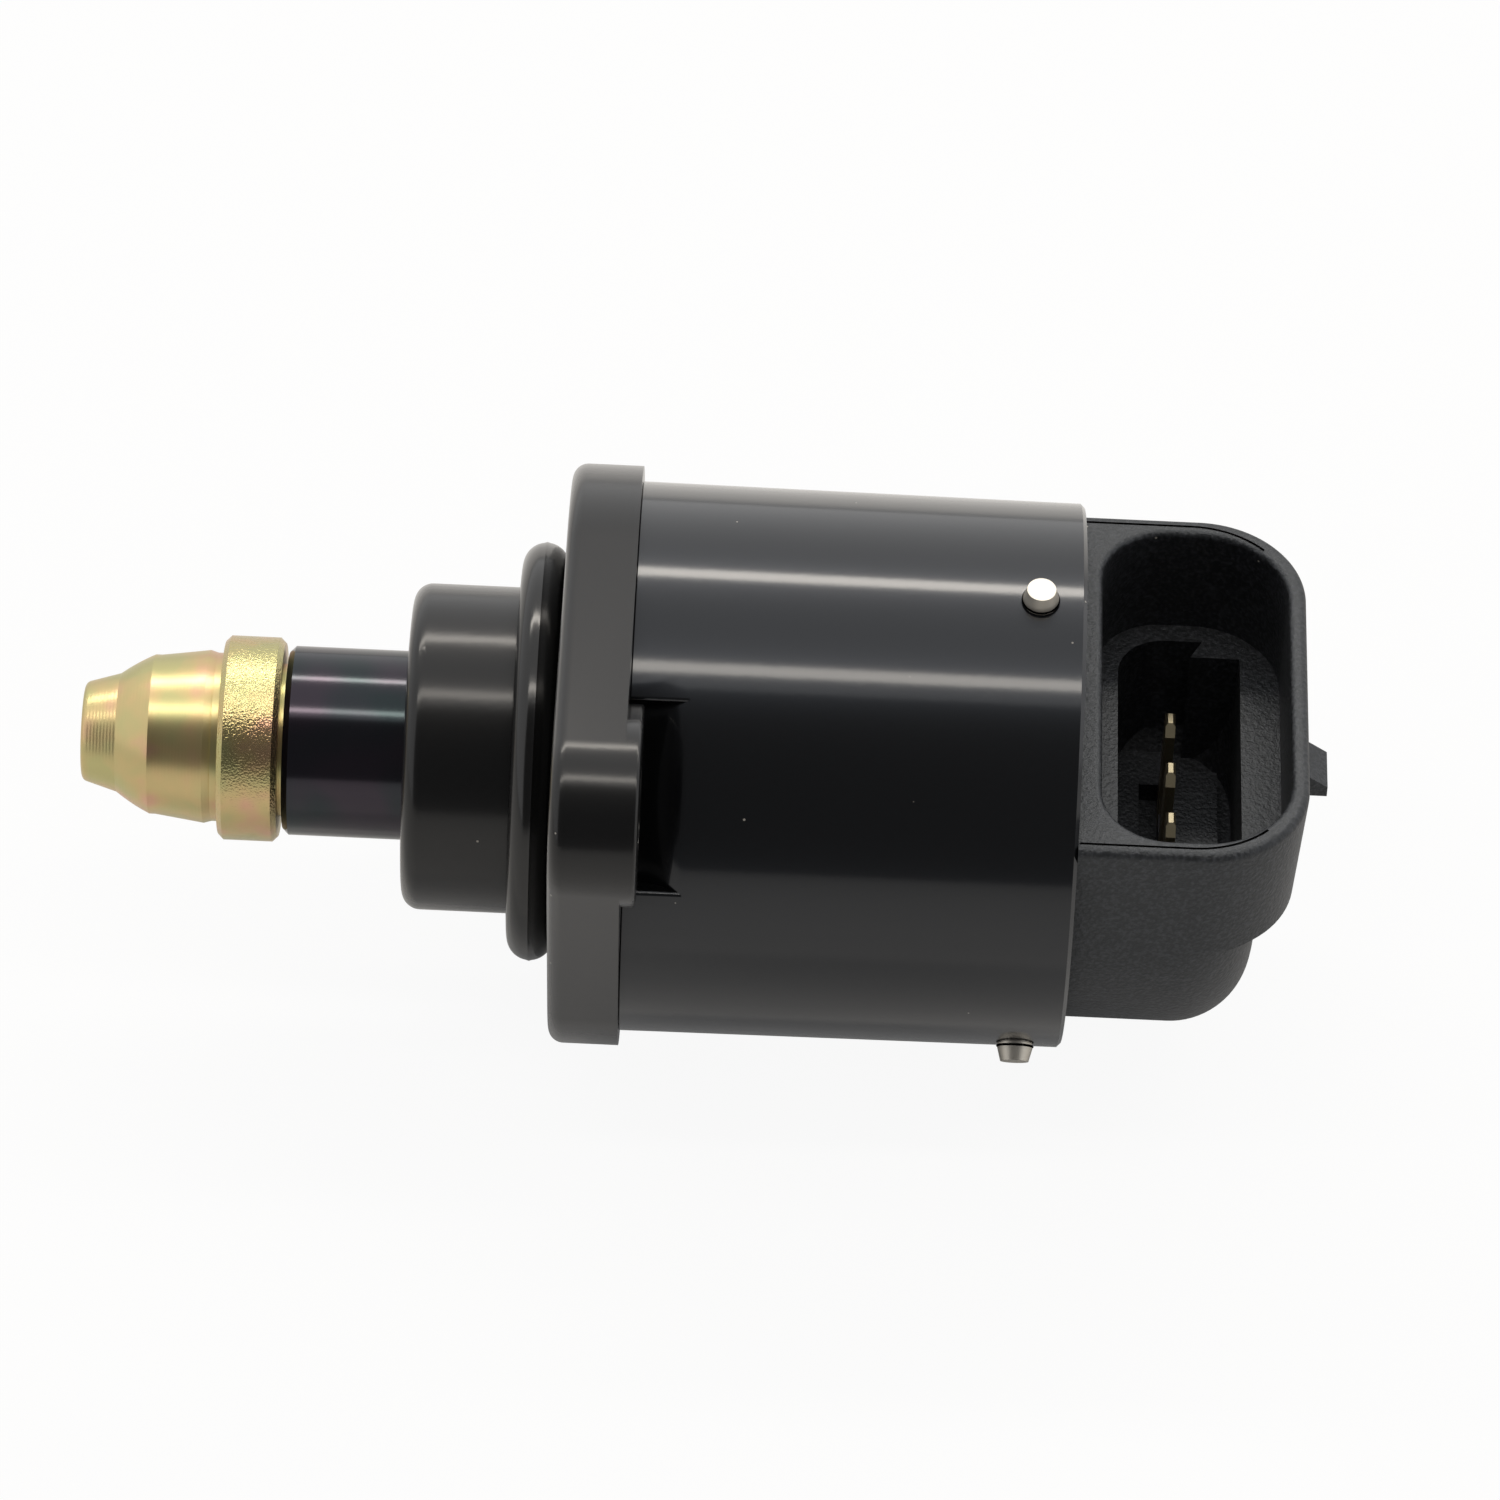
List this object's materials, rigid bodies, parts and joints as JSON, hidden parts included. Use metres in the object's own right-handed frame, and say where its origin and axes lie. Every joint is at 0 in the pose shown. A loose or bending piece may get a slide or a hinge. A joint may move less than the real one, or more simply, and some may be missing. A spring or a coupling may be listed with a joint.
{
  "type": "idle air control valve",
  "caption": "Flanged idle air control valve with a stepping motor, a sliding pintle on a lead screw and a side socket with blade terminals.",
  "frame": {"origin": "centre of the flange's mounting face, on the valve axis", "axes": "X along the valve axis with the pintle towards -X and the connector towards +X, +Z the way the socket opens"},
  "size_m": [0.0814, 0.05, 0.0396],
  "materials": {
    "housing_black": "satin black coated casting",
    "case_paint": "gloss black paint",
    "nitrile_rubber": "moulded nitrile rubber",
    "connector_plastic": "grained black moulding",
    "bright_steel": "bright ground steel",
    "terminal_brass": "plated brass strip",
    "yellow_zinc": "turned metal with yellow passivated zinc",
    "sleeve_black": "gloss black moulding",
    "bush_plastic": "natural engineering plastic",
    "bush_bronze": "sintered bronze",
    "ferrite": "bonded ferrite",
    "stator_steel": "zinc plated sheet steel",
    "copper_wire": "enamelled copper wire"
  },
  "bodies": {
    "body": {"front_housing": "housing_black", "nose_o_ring": "nitrile_rubber", "motor_case": "case_paint", "locking_pins": "bright_steel", "connector_cap": "connector_plastic", "cap_seal": "nitrile_rubber", "terminal_1": "terminal_brass", "terminal_2": "terminal_brass", "terminal_3": "terminal_brass", "terminal_4": "terminal_brass", "guide_bush": "bush_plastic", "wiper_seal": "nitrile_rubber", "bearing_outer_ring": "bright_steel", "bearing_balls": "bright_steel", "rear_bush": "bush_bronze", "preload_washer": "bright_steel", "stator_cup_front": "stator_steel", "stator_cup_rear": "stator_steel", "pole_plate_front": "stator_steel", "pole_plate_rear": "stator_steel", "coil_bobbin_front": "bush_plastic", "coil_bobbin_rear": "bush_plastic", "coil_winding_front": "copper_wire", "coil_winding_rear": "copper_wire"},
    "rotor": {"rotor_hub": "bush_plastic", "rotor_magnet": "ferrite", "bearing_inner_ring": "bright_steel"},
    "pintle": {"pintle_head": "yellow_zinc", "pintle_sleeve": "sleeve_black", "lead_screw": "bright_steel"}
  },
  "joints": [
    {"name": "rotor_spin", "type": "hinge", "parent": "body", "child": "rotor", "pos_m": [0.02, 0, 0], "axis": [1, 0, 0], "range_deg": [-720, 2880]},
    {"name": "pintle_slide", "type": "slide", "parent": "body", "child": "pintle", "axis": [1, 0, 0], "range_m": [-0.0016, 0.0064]}
  ],
  "couplings": [
    {"joint": "pintle_slide", "follows": "rotor_spin", "m_per_rad": 0.00012732}
  ]
}
